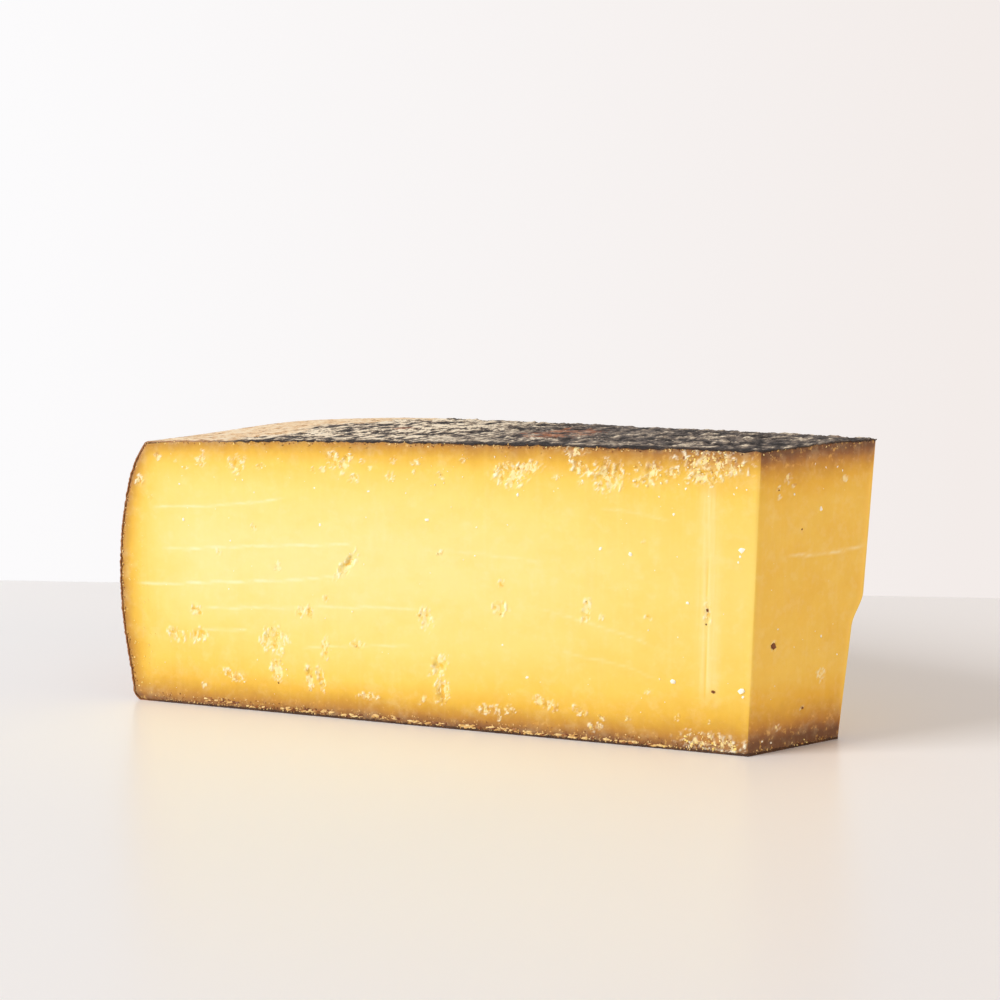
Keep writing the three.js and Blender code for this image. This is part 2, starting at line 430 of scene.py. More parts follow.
def scattered_tears(length, count, seed):
    """Small torn spots at random: most lie in a row 6 to 13 mm under the top rind or low down near
    the bottom rind, where the paste is driest, and a few lie anywhere."""
    chance = np.random.default_rng(seed)
    across = chance.uniform(6, length - 6, count)
    kind = chance.random(count)
    upper = WHEEL_HEIGHT - chance.uniform(6, 13, count)
    lower = chance.uniform(4, 14, count)
    anywhere = chance.uniform(14, 86, count)
    height = np.where(kind < 0.5, upper, np.where(kind < 0.8, lower, anywhere))
    wide = chance.uniform(0.5, 1.5, count)
    high = chance.uniform(0.5, 1.6, count)
    return np.stack([across, height, wide, high, chance.uniform(-50, 50, count),
                     chance.uniform(0.25, 0.7, count)], 1)


FRONT_SCATTER = scattered_tears(232, 54, 11)
NOSE_SCATTER = scattered_tears(46, 4, 12)
BACK_SCATTER = scattered_tears(236, 130, 13)

# The back cut has no listed torn spots, so its scattered ones are made larger and deeper.
BACK_ENLARGED = BACK_SCATTER * [1, 1, 1.6, 1.6, 1, 1.5]

CUT_TEARS = (np.concatenate([FRONT_TEARS, FRONT_SCATTER]),
             np.concatenate([NOSE_TEARS, NOSE_SCATTER]), BACK_ENLARGED)
CUT_LAYERS = (FRONT_LAYERS, NOSE_LAYERS, BACK_LAYERS)


def tear_fields(across, height, tears, seed):
    """How deep, how torn and how flaky each point of a cut is. A tear is an ellipse whose edge is
    broken up by noise at two scales. Inside it the paste has come away in soft lumps: the floor is
    made of cells, each sunk by its own amount. Flakes stand up where a second noise is high, mostly
    along the edge and a little way outside it."""
    bent = across + 0.8 * ripple(across / 2.3, height / 2.3, seed + 5)
    edge_noise = 0.42 * rough(across / 2.4, height / 3.1, 3, seed)
    near, gap = crumbly(bent / 1.5, height / 1.9, seed + 9)
    floor = 0.4 + 0.6 * np.clip(near * 1.3, 0, 1) - 0.3 * (1 - ease(0.0, 0.3, gap))
    lumps = ease(-0.05, 0.35, rough(bent / 1.0, height / 1.7, 2, seed + 21))
    depth = np.zeros_like(across)
    torn = np.zeros_like(across)
    flaky = np.zeros_like(across)
    for centre, level, wide, high, tilt, deep in tears:
        lean = math.radians(tilt)
        right, up = centre - across, height - level
        u = (right * math.cos(lean) + up * math.sin(lean)) / wide
        v = (up * math.cos(lean) - right * math.sin(lean)) / high
        reach = np.hypot(u, v) + edge_noise
        inside = ease(1.05, 0.5, reach)
        torn = np.maximum(torn, inside)
        depth = np.maximum(depth, inside * deep * floor)
        flaky = np.maximum(flaky, ease(1.45, 0.95, reach) * (1 - 0.7 * inside))
    flaky = flaky * lumps
    return 0.7 * depth - 0.22 * flaky, torn, flaky


def layer_fields(across, height, layers, seed):
    """How near each point is to a seam between layers of curd, from 0 to 1, fading at its ends."""
    shown = np.zeros_like(across)
    wobble = 0.5 * rough(across / 16, height / 40, 3, seed)
    broken = 0.55 + 0.45 * ease(-0.35, 0.35, ripple(across / 6, height / 30, seed + 3))
    for start, start_height, end, end_height, bow, strength in layers:
        share = (across - start) / (end - start)
        middle = start_height + (end_height - start_height) * share + 4 * bow * share * (1 - share)
        fade = ease(0, 0.12, share) * ease(1, 0.85, share)
        close = np.exp(-((height - middle - wobble) / 0.42) ** 2)
        shown = np.maximum(shown, close * fade * strength * broken)
    return shown


def knife_fields(across, height, seed):
    """Fine upright scores left by the knife at two widths, and slow waves in the cut, as depth in
    millimetres."""
    waves = 0.22 * rough(across / 48, height / 60, 2, seed)
    narrow = 0.018 * ripple(across / 1.1, height / 55, seed + 4)
    wide = 0.03 * ripple(across / 4.5, height / 80, seed + 6)
    return waves + (narrow + wide)


def nose_drag(along, height):
    """The band near the nose corner where the knife dragged: pale upright streaks with two scores,
    grooves whose darker colour is a painted shade, fading towards both ends. Returns how strongly the
    band shows, and its scores."""
    band = np.exp(-((along - 14.0) / 3.2) ** 2) * ease(14, 24, height) * ease(92, 84, height)
    middle = 14.4 + 0.3 * np.sin(height / 17)
    first = np.exp(-((along - middle) / 0.3) ** 2)
    second = np.exp(-((along - middle - 2.4) / 0.25) ** 2)
    return band, (first + 0.6 * second) * band * ease(78, 56, height) * ease(10, 30, height)


def rind_distance(radius, turn, height):
    """How ripe the paste is, as a distance in millimetres: two more than the way in from the top,
    bottom and heel rinds, blended so that corners are round. The browned layer is thickest at the
    bottom and at the foot of the heel. Far inside the distance levels off, sooner towards the nose."""
    lighter = 0.9 * ease(150, 235, radius) + 1.0 * ease(230, 330, radius) - 0.3
    inwards = [rind_top(radius, turn) - TOP_RIND - height + lighter,
               0.8 * (height - 2.5) + 0.7 * ease(280, 340, radius),
               1.1 * (heel_radius(height) - radius) + 0.8]
    blend = 2.2
    nearest = -blend * np.log(sum(np.exp(-(d + 2) / blend) for d in inwards))
    heel_foot = np.exp(-((radius - 345) / 24) ** 2 - ((height - 26) / 16) ** 2)
    nearest = nearest * (1 - 0.3 * heel_foot)
    level = 15 + 27 * ease(150, 290, radius)
    return level * (1 - np.exp(-np.maximum(nearest, 0) / level))


def paste_sides(height):
    """The four upright sides of the paste at each height, as functions of the share of the way along
    each. Every one gives plan positions and the distance along its cut: straight lines for the front,
    nose and back cuts, and an arc, with its turn, for the side under the heel rind."""
    corner_x = nose_corner(height)
    offset = back_offset(height)
    nose_length = (-corner_x * math.sin(WEDGE_ANGLE) - offset) / math.sin(NOSE_ANGLE + WEDGE_ANGLE)
    nose_end_x = corner_x + nose_length * NOSE_WAY[0]
    nose_end_y = nose_length * NOSE_WAY[1]
    back_start = nose_end_x * BACK_WAY[0] + nose_end_y * BACK_WAY[1]
    last_turn = back_turn(heel_radius(height) - UNDER_HEEL, height)
    front_end = heel_skin(height, 0 * height) - UNDER_HEEL
    back_end = np.sqrt((heel_skin(height, last_turn) - UNDER_HEEL) ** 2 - offset ** 2)

    def front(share):
        x = -front_end + (front_end + corner_x) * share
        return np.stack([x, np.zeros_like(x)], -1), nose_corner(0) - x

    def nose(share):
        walked = nose_length * share
        return np.stack([corner_x + walked * NOSE_WAY[0], walked * NOSE_WAY[1]], -1), walked

    def back(share):
        walked = back_start + (back_end - back_start) * share
        stood_in = (offset * np.ones_like(share))[..., None]
        spot = walked[..., None] * BACK_WAY + stood_in * BACK_INWARD
        return spot, walked - BACK_START

    def heel(share):
        turn = last_turn * (1 - share)
        reach = heel_skin(height, turn) - UNDER_HEEL
        return np.stack([-reach * np.cos(turn), reach * np.sin(turn)], -1), turn

    return [front, nose, back, heel]


# Points along each side, rows up it, and the height of the lowest row, inside the bottom rind.
PASTE_COLUMNS = (430, 64, 116, 12)
PASTE_ROWS = 146
PASTE_FOOT = 0.35

# The hidden ends of the paste, from the outside in: the size of each ring, and how far it sinks below
# the last row at the bottom and at the top. They close at the middle.
CAP_RINGS = (0.95, 0.85, 0.6, 0.25)
LOWER_SINKS = (-0.1, -0.1, -0.1, -0.1)
UPPER_SINKS = (2.4, 3.2, 3.6, 3.6)
CAP_MIDDLE = np.array([-250.0, 42.0, 0])
LOWER_POLE = 0.5
UPPER_POLE = WHEEL_HEIGHT - 4.4


def paste_heights():
    """Rows of the paste from bottom to top, closer together near both rinds, where it is torn most."""
    share = np.linspace(0, 1, PASTE_ROWS)
    pressed = share - 0.055 * np.sin(2 * math.pi * share)
    return PASTE_FOOT + (WHEEL_HEIGHT - PASTE_FOOT) * pressed


def edge_glow(side, share):
    """A painted glow laid on the paste's narrow upright edges, standing in for light shining through
    them: how strongly, from 0 well inside a cut to its full strength at the edge."""
    if side == FRONT:
        return 0.5 * ease(0.985, 1.0, share)
    if side == NOSE:
        return ease(0.92, 1.0, share)
    if side == BACK:
        return ease(0.02, 0.0, share)
    return np.zeros_like(share)


def paste_side(side, columns):
    """One side of the paste: a grid of points, and its fields. The height of a row follows the top
    rind, so that the rows end just under it. The points of a cut are moved in along its normal by the
    depth of its tears, seams and knife marks, less and less towards its upright edges."""
    share = (np.arange(columns) / columns)[None, :] * np.ones((PASTE_ROWS, 1))
    row_share = paste_heights()[:, None] / WHEEL_HEIGHT
    level = paste_heights()[:, None] * np.ones_like(share)
    for _ in range(3):
        plan, across = paste_sides(level)[side](share)
        reach = np.hypot(plan[..., 0], plan[..., 1])
        turn = np.arctan2(plan[..., 1], -plan[..., 0])
        sunk = 0.8 * TOP_RIND + 0.5 * ease(350, 358, reach)
        level = row_share * (rind_top(np.minimum(reach, RIM_RADIUS - 1.5), turn) - sunk)
    depth = torn = flaky = layer = drag = np.zeros_like(across)
    if side != HEEL:
        depth, torn, flaky = tear_fields(across, level, CUT_TEARS[side], 31 + side)
        layer = layer_fields(across, level, CUT_LAYERS[side], 41 + side)
        depth = depth + 0.10 * layer + knife_fields(across, level, 51 + side)
    if side == FRONT:
        drag, scores = nose_drag(across, level)
        depth = depth + 0.14 * scores - 0.05 * drag
        # the scores are carried as negative values, which the finish paints darker as shade in their
        # grooves
        drag = drag * (0.6 + 0.5 * ripple(across / 0.8, level / 70, 66)) - 0.6 * scores
    from_edge = np.minimum(share, 1 - share) * columns
    depth = depth * ease(0, 3, from_edge) + 0.3 * ease(1.6, 0, from_edge)
    ripe = rind_distance(reach, turn, level)
    # The nose cut, turned away from the main light, gets a deeper, more saturated paste colour and a
    # wider brown band: a painted shade.
    if side == NOSE:
        ripe = np.minimum(1.15 * ripe - 3.1, 9.4)
    points = np.concatenate([plan, level[..., None]], -1) - depth[..., None] * SIDE_NORMALS[side]
    # the last field is a painted glow near the upright edges, standing in for light shining through
    # them
    return points, {"torn": torn, "flaky": flaky, "layer": layer, "drag": drag, "ripe": ripe,
                    "painted_edge_light": edge_glow(side, share)}


def drawn_in(ring, sinks):
    """Smaller and smaller copies of a ring of points round the middle, each a little lower than the
    ring itself."""
    return np.stack([CAP_MIDDLE + (ring - CAP_MIDDLE) * [size, size, 0] + ring * [0, 0, 1]
                     - [0, 0, sink] for size, sink in zip(CAP_RINGS, sinks)])


def make_paste():
    """The paste: one closed surface. Rings of points run round the front, nose, back and heel sides
    at each height, and both ends draw in to a middle point hidden by the rind."""
    sides = [paste_side(side, columns) for side, columns in enumerate(PASTE_COLUMNS)]
    walls = np.concatenate([points for points, _ in sides], 1)
    stack = np.concatenate([drawn_in(walls[0], LOWER_SINKS)[::-1], walls,
                            drawn_in(walls[-1], UPPER_SINKS)])
    rows, around = stack.shape[:2]
    poles = CAP_MIDDLE + [[0, 0, LOWER_POLE], [0, 0, UPPER_POLE]]
    points = np.concatenate([stack.reshape(-1, 3), poles])
    quads = grid_quads(rows, around, wrap=True)
    here = np.arange(around)
    after = np.roll(here, -1)
    last = (rows - 1) * around
    bottom_fan = np.stack([after, here, np.full(around, rows * around)], 1)
    top_fan = np.stack([last + here, last + after, np.full(around, rows * around + 1)], 1)
    fans = np.concatenate([bottom_fan, top_fan])
    hidden = np.zeros((len(CAP_RINGS), around))
    values = {}
    for field in sides[0][1]:
        shown = np.concatenate([fields[field] for _, fields in sides], 1)
        values[field] = np.append(np.concatenate([hidden, shown, hidden]), [0, 0])
    chart = paste_chart(points, quads, fans, around, rows)
    paste = make_piece("paste", points, quads, fans, values, chart)
    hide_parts("cheese_wedge")
    return paste


def paste_chart(points, quads, triangles, around, rows):
    """The paste's flat map: the front cut fills the lower half of the square, the back and nose cuts
    share most of the rest, and the heel side and the two ends are laid small along the last strip.
    Each side's box is its left, bottom, width and height."""
    boxes = np.array([(0.004, 0.004, 0.992, 0.43), (0.76, 0.45, 0.232, 0.43),
                      (0.004, 0.45, 0.74, 0.35), (0.004, 0.82, 0.3, 0.05)])
    starts = np.cumsum((0,) + PASTE_COLUMNS)
    column = np.tile(np.arange(around), rows - 1)
    row = np.repeat(np.arange(rows - 1), around)
    side = np.searchsorted(starts, column, side="right") - 1
    box = boxes[side]
    count = np.array(PASTE_COLUMNS)[side]
    left = (column - starts[side]) / count
    right = (column + 1 - starts[side]) / count
    extra = len(CAP_RINGS)
    low = (row - extra) / (PASTE_ROWS - 1)
    high = (row + 1 - extra) / (PASTE_ROWS - 1)
    u = np.stack([left, right, right, left], 1) * box[:, 2:3] + box[:, 0:1]
    v = np.stack([low, low, high, high], 1) * box[:, 3:4] + box[:, 1:2]
    flat = np.stack([u, v], -1)
    cap = (row < extra) | (row >= rows - 1 - extra)

    def folded(corners, upper):
        """The two ends seen from above, side by side."""
        across = (points[corners][..., 0] + WIDEST_RADIUS) / 1400 + np.where(upper, 0.55, 0.33)
        return np.stack([across, points[corners][..., 1] / 1400 + 0.885], -1)

    flat[cap] = folded(quads[cap], (row[cap] > extra)[:, None])
    fans = folded(triangles, (np.arange(len(triangles)) >= around)[:, None])
    return np.concatenate([flat.reshape(-1, 2), fans.reshape(-1, 2)])


# ---------------------------------------------------------------- the rind

# The rings that close the inner side of a sheet of rind, as shares of its size.
INNER_RINGS = (1, 0.985, 0.8, 0.4, 0.02)


def rind_slab(name, walk_of, thickness, rows, columns, seed):
    """A closed sheet of rind. Rows run from one end of its walk to the other and columns from the
    front cut to the back cut. The outer side is the wheel's outline moved out along its normal by the
    relief. From its edge a wall goes down by the thickness, ragged along the cuts, and the inner side
    closes in from there on rings that shrink towards the middle of the sheet."""

    def skin(share_walk, share_turn, sunk):
        """Points of the sheet at shares of its walk and its turn, sunk by a share of its thickness,
        with their relief, their walk, and whether they lie on a cut edge. Points on an edge stand a
        little proud of the cut."""
        turn = share_turn * WEDGE_ANGLE
        for _ in range(3):
            walk = walk_of(share_walk, turn)
            radius, height, out, up = on_outline(walk)
            turn = share_turn * back_turn(radius, height)
        arc = turn * ARC_RADIUS
        relief = rind_relief(walk, arc)
        ragged = 1.0 + 0.6 * rough(walk / 2.3, arc / 2.3, 3, seed)
        lift = relief - sunk * thickness * ragged
        radius = radius + out * lift
        height = np.clip(height + up * lift, 0.3 * sunk * thickness, None)
        spots = np.stack([-radius * np.cos(turn), radius * np.sin(turn), height], -1)
        proud = (0.14 + 0.2 * rough(walk / 1.4, arc / 1.4, 2, seed + 3))[..., None]
        on_front = share_turn < 1e-6
        on_back = share_turn > 1 - 1e-6
        spots = spots + proud * (SIDE_NORMALS[FRONT] * on_front[..., None]
                                 + SIDE_NORMALS[BACK] * on_back[..., None])
        edge = on_front | on_back
        if walk_of in (top_walk, bottom_walk):
            on_nose = share_walk < 1e-6 if walk_of is top_walk else share_walk > 1 - 1e-6
            spots = spots + proud * SIDE_NORMALS[NOSE] * on_nose[..., None]
            edge = edge | on_nose
        return spots, relief, walk, 1.0 * edge

    def joined(first, second):
        """Two grids of points or numbers as one list."""
        return np.concatenate([grid.reshape((-1,) + grid.shape[2:]) for grid in (first, second)])

    share_walk = np.linspace(0, 1, rows)[:, None] * np.ones((1, columns))
    share_turn = np.linspace(0, 1, columns)[None, :] * np.ones((rows, 1))
    number = np.arange(rows * columns).reshape(rows, columns)
    rim = np.concatenate([number[0, :-1], number[:-1, -1], number[-1, :0:-1], number[:0:-1, 0]])
    rim_walk = share_walk.ravel()[rim]
    rim_turn = share_turn.ravel()[rim]
    sizes = np.array(INNER_RINGS)[:, None]
    inner = skin(0.5 + (rim_walk - 0.5) * sizes, 0.5 + (rim_turn - 0.5) * sizes, 1.0)
    outer = skin(share_walk, share_turn, 0.0)
    points, relief, walk, edge = (joined(first, second) for first, second in zip(outer, inner))
    count = rows * columns
    around = len(rim)
    last = count + (len(sizes) - 1) * around
    points = np.concatenate([points, points[last:].mean(0, keepdims=True)])
    here = np.arange(around)
    after = np.roll(here, -1)
    walls = np.stack([rim[after], rim, count + here, count + after], 1)
    rings = grid_quads(len(sizes), around, count, wrap=True)
    fan = np.stack([last + after, last + here, np.full(around, len(points) - 1)], 1)
    quads = np.concatenate([grid_quads(rows, columns), walls, rings[:, ::-1]])
    values = {"relief": np.append(relief, 0), "walk": np.append(walk, walk[0]),
              "edge": np.append(edge, 0)}
    piece = make_piece(name, points, quads, fan, values)
    piece.data.set_sharp_from_angle(angle=math.radians(60))
    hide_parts("cheese_wedge")
    return piece


# Where the heel rind meets the top rind and the bottom rind, as walked lengths.
SPLIT_UNDER_RIM = 4.0
FOOT_WALK = float(WALK[(WALK > 60) & (WALK_HEIGHT < 0.4)][0])


def top_walk(share, turn):
    """From the nose cut to just past the rim."""
    start = nose_reach(turn, WHEEL_HEIGHT) - RIM_RADIUS
    return start + (SPLIT_UNDER_RIM - start) * share


def heel_walk(share, turn):
    """From just past the rim to the foot."""
    return SPLIT_UNDER_RIM + (FOOT_WALK - SPLIT_UNDER_RIM) * share


def bottom_walk(share, turn):
    """From the foot inwards to the nose cut."""
    foot = float(np.interp(FOOT_WALK, WALK, WALK_RADIUS))
    end = FOOT_WALK + foot - nose_reach(turn, 0)
    return FOOT_WALK + (end - FOOT_WALK) * share


# ---------------------------------------------------------------- crumbs, crystals and painted eye shade

# White crystals in the cuts: side, along, height, half size.
CRYSTALS = [
    (FRONT, 213, 82, 0.5), (FRONT, 211.5, 69, 0.6), (FRONT, 192, 62, 0.5), (FRONT, 157.5, 82.5, 0.7),
    (FRONT, 155.5, 69.5, 0.6), (FRONT, 136.5, 82, 0.7), (FRONT, 114, 73, 0.8), (FRONT, 80.5, 83, 0.6),
    (FRONT, 51, 66, 0.65), (FRONT, 40.5, 64.5, 0.8), (FRONT, 1.8, 87.5, 0.5), (FRONT, 3.2, 68, 1.1),
    (FRONT, 3.6, 65.6, 0.5), (FRONT, 4.2, 63.8, 0.4), (FRONT, 21, 49.5, 0.6), (FRONT, 25.5, 23, 0.9),
    (FRONT, 2.4, 21.5, 1.1), (FRONT, 2.0, 19.6, 0.5), (FRONT, 86, 31, 0.6), (FRONT, 77, 20.5, 0.6),
    (FRONT, 22, 87, 0.5), (FRONT, 26, 78.5, 0.5), (NOSE, 27.7, 79, 0.9), (NOSE, 27.9, 77.6, 0.4),
    (NOSE, 15, 85, 0.6), (NOSE, 24, 94, 0.5), (NOSE, 29, 92.5, 0.5), (NOSE, 37, 91, 0.5),
    (NOSE, 31, 36.5, 0.5), (NOSE, 6, 4.2, 0.5), (NOSE, 10, 3.2, 0.4), (NOSE, 39, 29.5, 0.5)]

# Small eyes, each drawn as a dark brown spot that paints the shade inside the little hole: side,
# along, height, half size.
EYE_SHADE_SPOTS = [(FRONT, 14.2, 47.5, 0.55), (FRONT, 12, 20.5, 0.6), (FRONT, 56, 48, 0.4),
        (FRONT, 14.6, 42.8, 0.35),
        (NOSE, 9, 35.7, 1.1), (NOSE, 9.2, 35.5, 1.0), (NOSE, 8.8, 35.9, 1.0),
        (NOSE, 8.2, 86.8, 0.45), (NOSE, 8.4, 84.6, 0.4), (NOSE, 19.5, 73.2, 0.55),
        (NOSE, 24, 13, 0.5), (FRONT, 173, 11, 0.35), (FRONT, 107, 4.6, 0.3), (BACK, 60, 58, 0.7),
        (BACK, 150, 34, 0.5)]

# Crumbly runs along the front's bottom edge: start, end, height, half thickness.
CRUST_RUNS = [(204, 190, 2.4, 0.8), (186, 178, 1.3, 0.4), (172, 158, 1.7, 0.6), (157, 150, 1.9, 0.6),
              (148, 139, 1.5, 0.6), (136, 124, 2.0, 0.6), (121, 107, 1.5, 0.5), (103, 94, 1.3, 0.5),
              (92, 80, 1.6, 0.6), (79, 70, 1.2, 0.5), (66, 52, 1.4, 0.5), (50, 38, 1.2, 0.4),
              (34, 24, 1.0, 0.4)]

# The solid with twenty faces, on a ball of radius one: the corners of three golden oblongs.
GOLDEN = (1 + math.sqrt(5)) / 2
OBLONG = [(a, b) for a in (-1, 1) for b in (-GOLDEN, GOLDEN)]
LUMP_POINTS = np.array([(a, b, 0) for a, b in OBLONG] + [(0, a, b) for a, b in OBLONG]
                       + [(b, 0, a) for a, b in OBLONG]) / math.hypot(1, GOLDEN)


def lump_faces():
    """The twenty faces: every three points that are one edge apart, turned to face outwards."""
    edge = 2 / math.hypot(1, GOLDEN)
    gap = np.linalg.norm(LUMP_POINTS[:, None] - LUMP_POINTS[None], axis=2)
    close = np.abs(gap - edge) < 0.01
    faces = [(a, b, c) for a in range(12) for b in range(a + 1, 12) for c in range(b + 1, 12)
             if close[a, b] and close[b, c] and close[a, c]]
    turned = []
    for a, b, c in faces:
        way = np.cross(LUMP_POINTS[b] - LUMP_POINTS[a], LUMP_POINTS[c] - LUMP_POINTS[a])
        turned.append((a, b, c) if way @ LUMP_POINTS[a] > 0 else (a, c, b))
    return np.array(turned)


def cut_frame(side, across, height):
    """A place on a cut, with the directions along it and out of it, all as rows of x, y and z."""
    if side == FRONT:
        plan = np.stack([nose_corner(0) - across, 0 * across], -1)
        along = np.array([-1.0, 0, 0])
    elif side == NOSE:
        plan = np.stack([nose_corner(height) + across * NOSE_WAY[0], across * NOSE_WAY[1]], -1)
        along = np.append(NOSE_WAY, 0)
    else:
        walked = (across + BACK_START)[:, None]
        plan = walked * BACK_WAY + back_offset(height)[:, None] * BACK_INWARD
        along = np.append(BACK_WAY, 0)
    place = np.concatenate([plan, height[:, None]], 1)
    return place, along, SIDE_NORMALS[side]


def crumbs_in_tears(side, tears, per_area, seed, darkest=0.42):
    """Loose crumbs inside and round each tear: rows of across, height, half length, half width, half
    thickness, spin, tint and how far out the middle stands."""
    chance = np.random.default_rng(seed)
    rows = []
    for centre, level, wide, high, tilt, deep in tears:
        count = int(per_area * wide * high + 1)
        reach = np.sqrt(chance.random(count)) * 1.15
        angle = chance.uniform(0, 2 * math.pi, count)
        lean = math.radians(tilt)
        u = reach * np.cos(angle) * wide
        v = reach * np.sin(angle) * high
        across = centre - (u * math.cos(lean) - v * math.sin(lean))
        height = level + u * math.sin(lean) + v * math.cos(lean)
        size = 0.25 + 0.5 * chance.random(count) ** 2
        tint = np.where(chance.random(count) < 0.6, chance.uniform(0.62, 0.8, count),
                        chance.uniform(darkest, 0.56, count))
        out = np.where(reach < 0.8, -0.5 * deep, -0.1)
        rows.append(np.stack([across, height, size, size * chance.uniform(0.5, 0.9, count),
                              0.6 * size, chance.uniform(0, math.pi, count), tint, out], 1))
    found = np.concatenate(rows)
    return side, found[(found[:, 1] < WHEEL_HEIGHT - 1.2) & (found[:, 1] > 0.6)]


def crust_crumbs(seed):
    """Crumbs of the torn crust along the bottom edge of the front cut: runs with gaps between them,
    each thickest in its middle by the sine of the way along it, and small loose ones everywhere."""
    chance = np.random.default_rng(seed)
    rows = []
    for start, end, level, thick in CRUST_RUNS:
        count = int(abs(start - end) / 0.45)
        across = chance.uniform(end, start, count)
        spread = np.sin(math.pi * (across - end) / (start - end)) ** 0.4
        height = level + thick * spread * chance.uniform(-1, 1, count)
        size = 0.4 + 1.3 * chance.random(count) ** 1.6
        tint = np.where(chance.random(count) < 0.3, chance.uniform(0.0, 0.2, count),
                        chance.uniform(0.24, 0.42, count))
        rows.append(np.stack([across, height, size, 0.2 + 0.22 * size, 0.2 + 0.15 * size,
                              chance.normal(-0.06, 0.12, count), tint, 0 * size - 0.02], 1))
    loose = 520
    size = chance.uniform(0.2, 0.5, loose)
    across = chance.uniform(4, 226, loose)
    height = 0.7 + 3.0 * chance.random(loose) ** 1.7
    rows.append(np.stack([across, height, size, 0.6 * size, 0.5 * size, chance.uniform(0, 3, loose),
                          chance.uniform(0.1, 0.4, loose), 0 * size + 0.04], 1))
    return FRONT, np.concatenate(rows)


def edge_crumbs(side, length, line, count, seed):
    """Small flakes strung along an edge between paste and rind, scattered round a line whose height
    is a function of the way along the cut."""
    chance = np.random.default_rng(seed)
    across = chance.uniform(5 if side == BACK else 0.5, length - 0.5, count)
    size = 0.2 + 0.35 * chance.random(count) ** 2
    tint = np.where(chance.random(count) < 0.9, chance.uniform(0.0, 0.4, count),
                    chance.uniform(0.6, 0.8, count))
    height = line(across) + 0.35 * chance.normal(size=count)
    return side, np.stack([across, height, size, 0.6 * size, 0.5 * size, chance.uniform(0, 3, count),
                           tint, 0 * size + 0.05], 1)


def heel_crumbs(seed):
    """Brown crumbs along the heel edge of the front cut, and pale specks a few millimetres in."""
    chance = np.random.default_rng(seed)
    on_edge = 150
    count = on_edge + 80
    height = chance.uniform(3, 97, count)
    inwards = np.where(np.arange(count) < on_edge, chance.uniform(0.1, 1.3, count),
                       chance.uniform(1.5, 13, count))
    size = chance.uniform(0.18, 0.42, count)
    tint = np.where(inwards < 1.4, chance.uniform(0.0, 0.4, count), chance.uniform(0.56, 0.72, count))
    across = heel_radius(height) - NOSE_RADIUS - inwards
    return FRONT, np.stack([across, height, size, 0.75 * size, 0.5 * size,
                            chance.uniform(0, 3, count), tint, 0 * size - 0.03], 1)


def chosen_spots(spots, tint, thickness, seed):
    """Listed spots as rows for each cut, a little longer than wide and spun at random."""
    chance = np.random.default_rng(seed)
    for side in (FRONT, NOSE, BACK):
        rows = [(across, height, 1.2 * size, 1.2 * size * chance.uniform(0.7, 1.0),
                 thickness * size, chance.uniform(0, 3), tint, -0.02)
                for where, across, height, size in spots if where == side]
        if rows:
            yield side, np.array(rows)


def make_lumps(name, batches, seed):
    """Many small lumps in one mesh. Each is the twenty-faced solid, its corners pushed in or out at
    random, stretched to its three half sizes, spun in the plane of its cut and set at its place."""
    chance = np.random.default_rng(seed)
    faces = lump_faces()
    points, tints = [], []
    for side, rows in batches:
        across, height, long, short, thick, spin, tint, out = rows.T
        place, along, flat = cut_frame(side, across, height)
        ball = LUMP_POINTS[None] * chance.uniform(0.55, 1.2, (len(rows), 12, 1))
        handed = np.sign(np.cross(along, [0, 0, 1.0]) @ flat)
        u = ball[..., 0] * long[:, None] * handed
        v = ball[..., 1] * short[:, None]
        w = ball[..., 2] * thick[:, None]
        turned_u = u * np.cos(spin)[:, None] - v * np.sin(spin)[:, None]
        turned_v = u * np.sin(spin)[:, None] + v * np.cos(spin)[:, None]
        points.append(place[:, None] + turned_u[..., None] * along
                      + turned_v[..., None] * [0, 0, 1.0] + (w + out[:, None])[..., None] * flat)
        tints.append(np.repeat(tint, 12))
    points = np.concatenate(points).reshape(-1, 3)
    points[:, 2] = np.maximum(points[:, 2], 0.05)
    count = len(points) // 12
    triangles = (faces[None] + 12 * np.arange(count)[:, None, None]).reshape(-1, 3)
    no_quads = np.zeros((0, 4), int)
    piece = make_piece(name, points, no_quads, triangles, {"tint": np.concatenate(tints)})
    piece.data.shade_flat()
    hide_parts("cheese_wedge")
    return piece


def front_top_line(across):
    """Just under the top rind, along the front cut."""
    return rind_top(NOSE_RADIUS + across, 0) - 0.9


def nose_top_line(across):
    """Just under the top rind, along the nose cut."""
    return np.full_like(across, WHEEL_HEIGHT - 0.9)


def bottom_line(across):
    """Just over the bottom rind."""
    return np.full_like(across, 1.2)


def make_crumbs():
    """Crumbs in the tears and along the edges between a cut and the rind. The front cut's last three
    tears, beside the nose, hold darker ones as well."""
    return make_lumps("crumbs", [
        crumbs_in_tears(FRONT, FRONT_TEARS, 0.4, 201),
        crumbs_in_tears(FRONT, FRONT_TEARS[-3:], 2.0, 202, 0.05),
        crumbs_in_tears(FRONT, FRONT_SCATTER, 0.5, 203),
        crumbs_in_tears(BACK, BACK_SCATTER, 0.6, 204),
        crust_crumbs(205),
        heel_crumbs(211),
        edge_crumbs(FRONT, 225, front_top_line, 300, 206),
        edge_crumbs(NOSE, 50, nose_top_line, 40, 207),
        edge_crumbs(NOSE, 36, bottom_line, 50, 208),
        edge_crumbs(BACK, 225, bottom_line, 260, 209)], 210)


